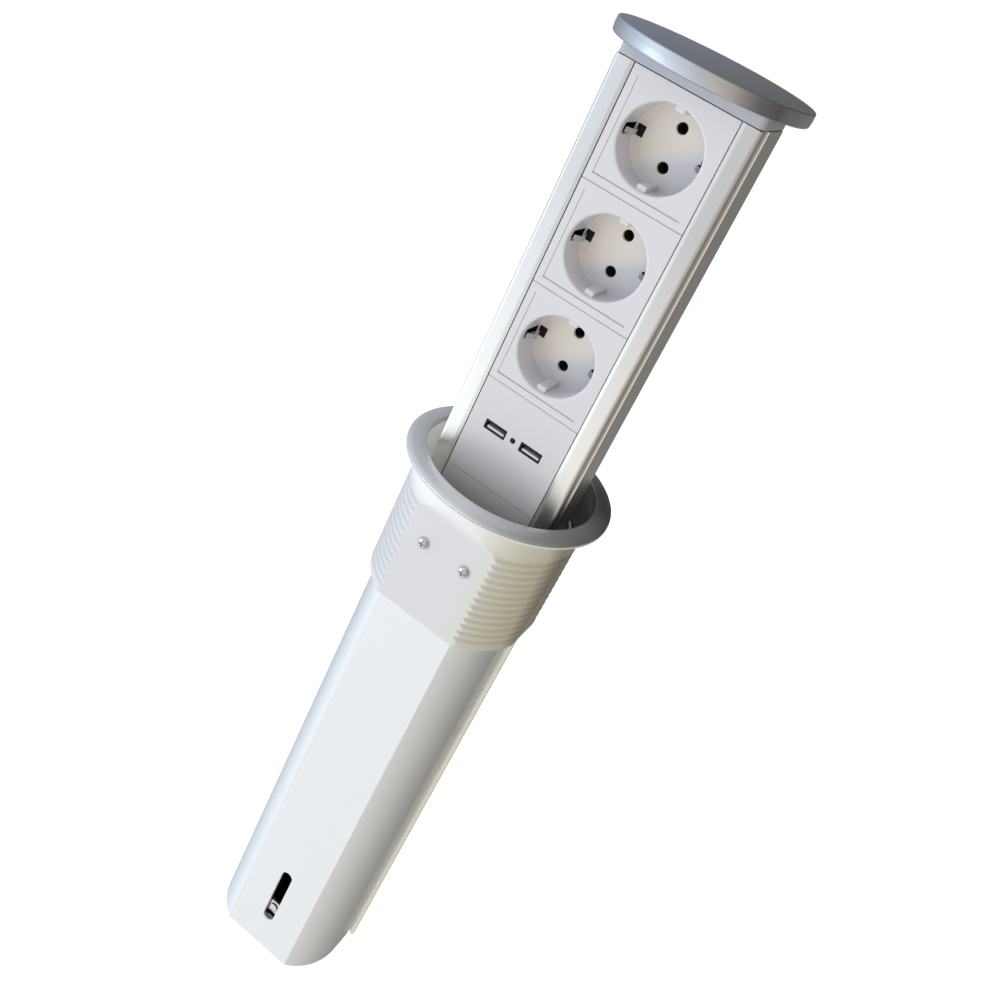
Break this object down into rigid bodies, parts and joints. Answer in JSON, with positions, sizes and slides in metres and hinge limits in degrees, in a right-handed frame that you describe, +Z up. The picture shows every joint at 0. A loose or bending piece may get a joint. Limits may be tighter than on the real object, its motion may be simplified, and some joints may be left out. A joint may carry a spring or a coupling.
{
  "type": "pull-up desk power tower",
  "caption": "Pull-up desk power tower: a socket and USB column under a round cap slides out of a threaded collar and long under-desk casing.",
  "frame": {"origin": "centre of the collar's flange underside, on the column's axis, level with the desk top it is held in", "axes": "+Z up along the column towards the cap, -Y the front with the sockets, +X to the right seen from the front"},
  "size_m": [0.1128, 0.1128, 0.5838],
  "materials": {
    "white_plastic": "satin moulded",
    "grey_plastic": "satin moulded",
    "cream_plastic": "semi-gloss moulded",
    "guide_plastic": "matt moulded",
    "black_plastic": "satin moulded",
    "rubber": "soft matt",
    "felt": "pressed felt",
    "satin_aluminium": "satin anodised",
    "cap_aluminium": "brushed anodised",
    "silver_coat": "silver-white powder coat",
    "flange_silver": "satin silver lacquer",
    "steel": "zinc plated",
    "brass": "plain",
    "board": "solder mask"
  },
  "bodies": {
    "housing": {"anchor_bar_lower": "steel", "anchor_bar_upper": "steel", "anchor_screw": "steel", "bottom_plug": "black_plastic", "cable_grommet": "rubber", "collar": "cream_plastic", "collar_flange": "cream_plastic", "collar_screw_front_left": "steel", "collar_screw_front_right": "steel", "collar_screw_rear_left": "steel", "collar_screw_rear_right": "steel", "flange_ring": "flange_silver", "friction_pad_left": "felt", "friction_pad_right": "felt", "friction_spring_left": "steel", "friction_spring_right": "steel", "front_shell": "silver_coat", "guide_front": "guide_plastic", "guide_rear": "guide_plastic", "joint_strip_left": "cream_plastic", "joint_strip_right": "cream_plastic", "plug_screw_left": "steel", "plug_screw_right": "steel", "rear_shell": "silver_coat"},
    "column": {"back_panel": "satin_aluminium", "busbar_earth": "brass", "busbar_live": "brass", "busbar_neutral": "brass", "cap": "cap_aluminium", "cap_screw_left": "steel", "cap_screw_right": "steel", "column_foot": "guide_plastic", "contact_carrier_1": "black_plastic", "contact_carrier_2": "black_plastic", "contact_carrier_3": "black_plastic", "contact_sleeve_live_1": "brass", "contact_sleeve_live_2": "brass", "contact_sleeve_live_3": "brass", "contact_sleeve_neutral_1": "brass", "contact_sleeve_neutral_2": "brass", "contact_sleeve_neutral_3": "brass", "earth_spring_1": "steel", "earth_spring_2": "steel", "earth_spring_3": "steel", "filler_panel": "white_plastic", "foot_screw_left": "steel", "foot_screw_right": "steel", "head_block": "grey_plastic", "head_screw_left": "steel", "head_screw_right": "steel", "led_lens": "black_plastic", "rail_left": "satin_aluminium", "rail_right": "satin_aluminium", "socket_plate_1": "white_plastic", "socket_plate_2": "white_plastic", "socket_plate_3": "white_plastic", "usb_board": "board", "usb_panel": "white_plastic", "usb_port_1": "black_plastic", "usb_port_2": "black_plastic"}
  },
  "joints": [
    {"name": "column_slide", "type": "slide", "parent": "housing", "child": "column", "axis": [0, 0, 1], "range_m": [-0.2126, 0]}
  ]
}
